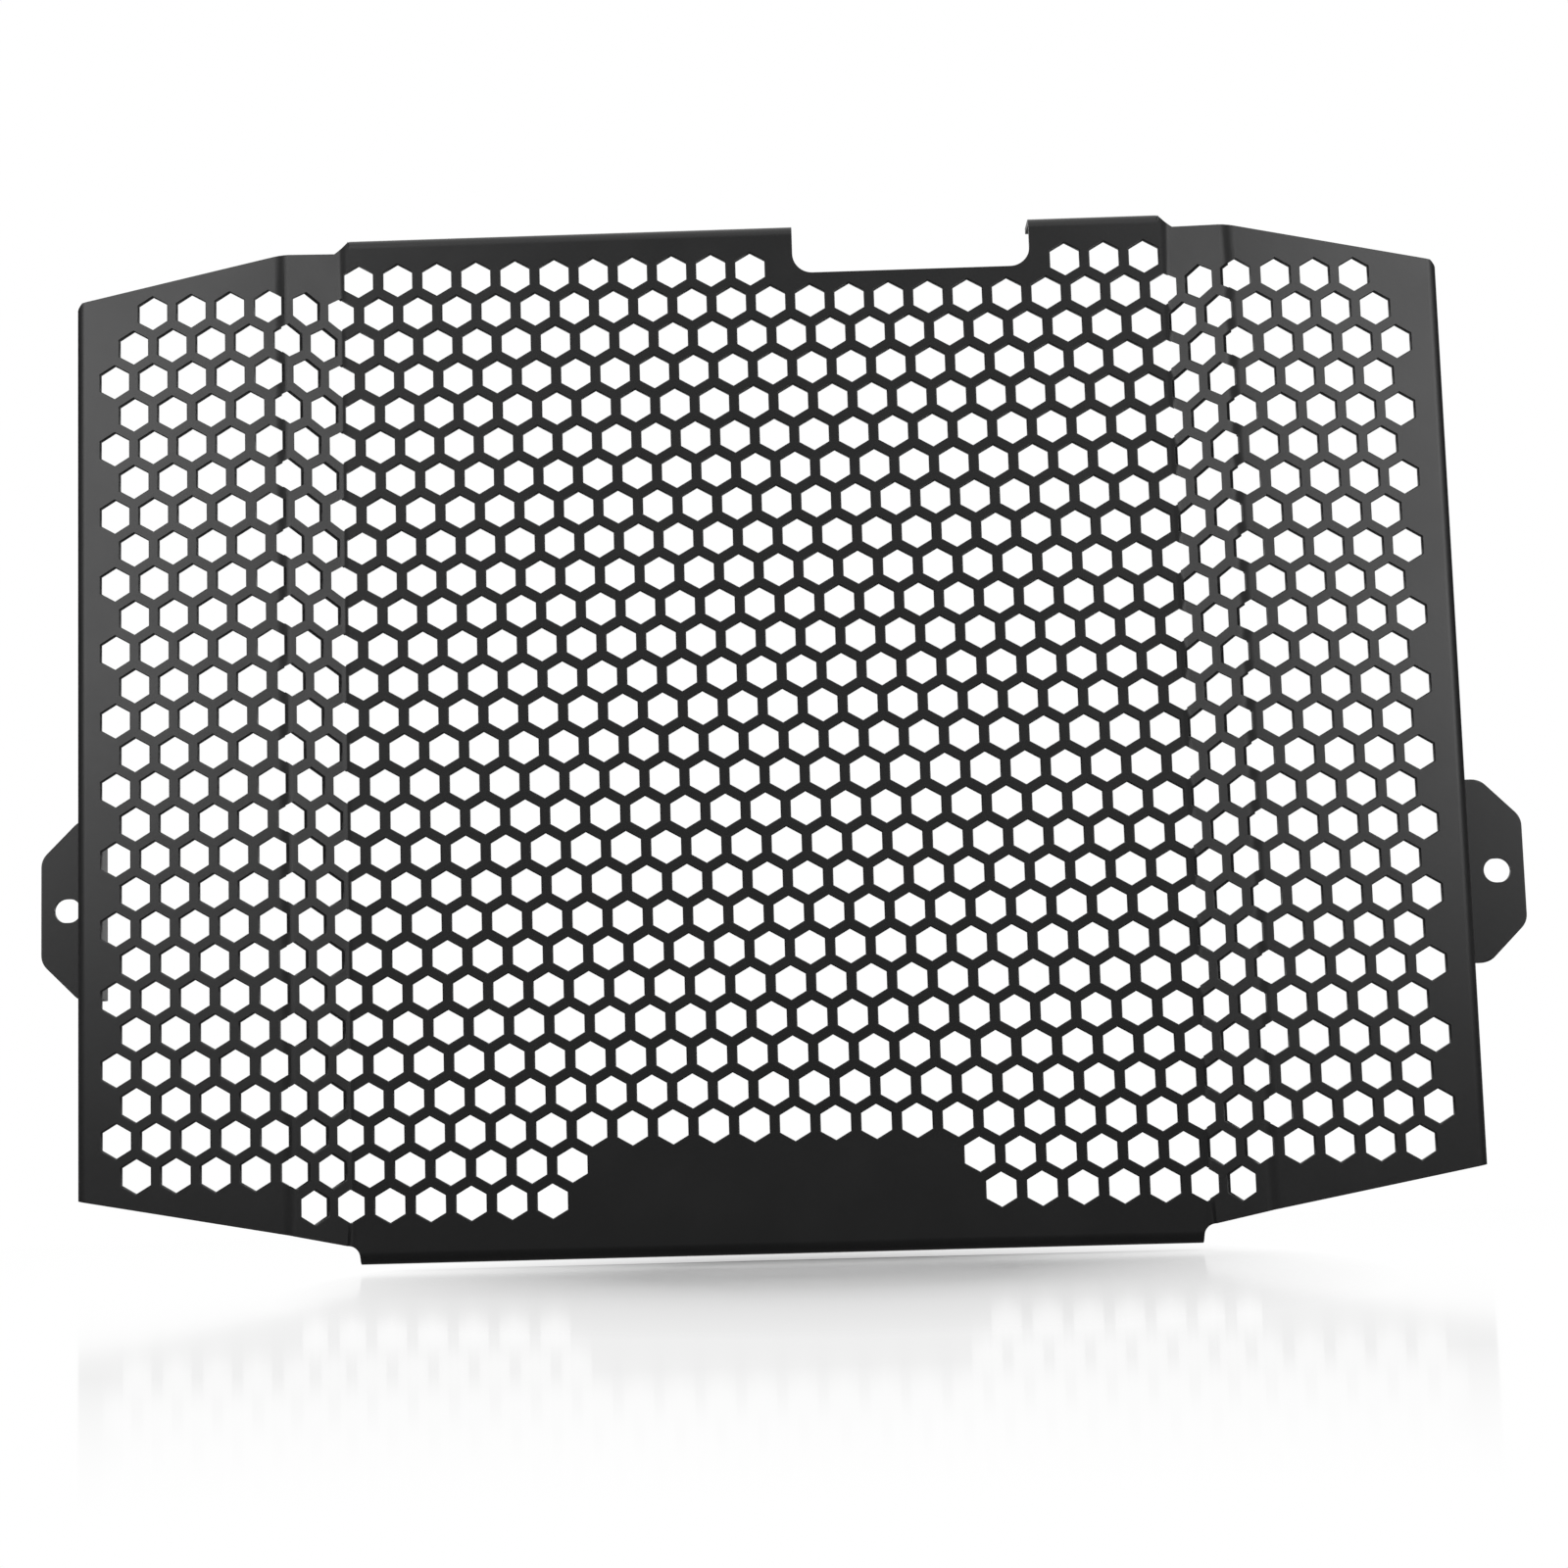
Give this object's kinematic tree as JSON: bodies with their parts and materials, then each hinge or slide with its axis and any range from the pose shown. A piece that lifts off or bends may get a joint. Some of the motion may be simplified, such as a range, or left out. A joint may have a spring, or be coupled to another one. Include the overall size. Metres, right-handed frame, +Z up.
{
  "type": "motorcycle radiator guard",
  "caption": "Folded sheet-metal guard with hexagonal perforations, forward-stepped wings, side flanges and two slotted bolt tabs, fixed in front of a motorcycle radiator.",
  "frame": {"origin": "midway between the two bolt slots, in the plane of the tabs' back faces", "axes": "+X across the motorcycle, to the right in the picture; +Y backwards to the radiator, so the front faces -Y; +Z up"},
  "size_m": [0.3802, 0.0368, 0.2595],
  "materials": {
    "powder_coat": "satin black powder coat over aluminium sheet"
  },
  "bodies": {
    "root": {"radiator_guard": "powder_coat"}
  },
  "joints": []
}
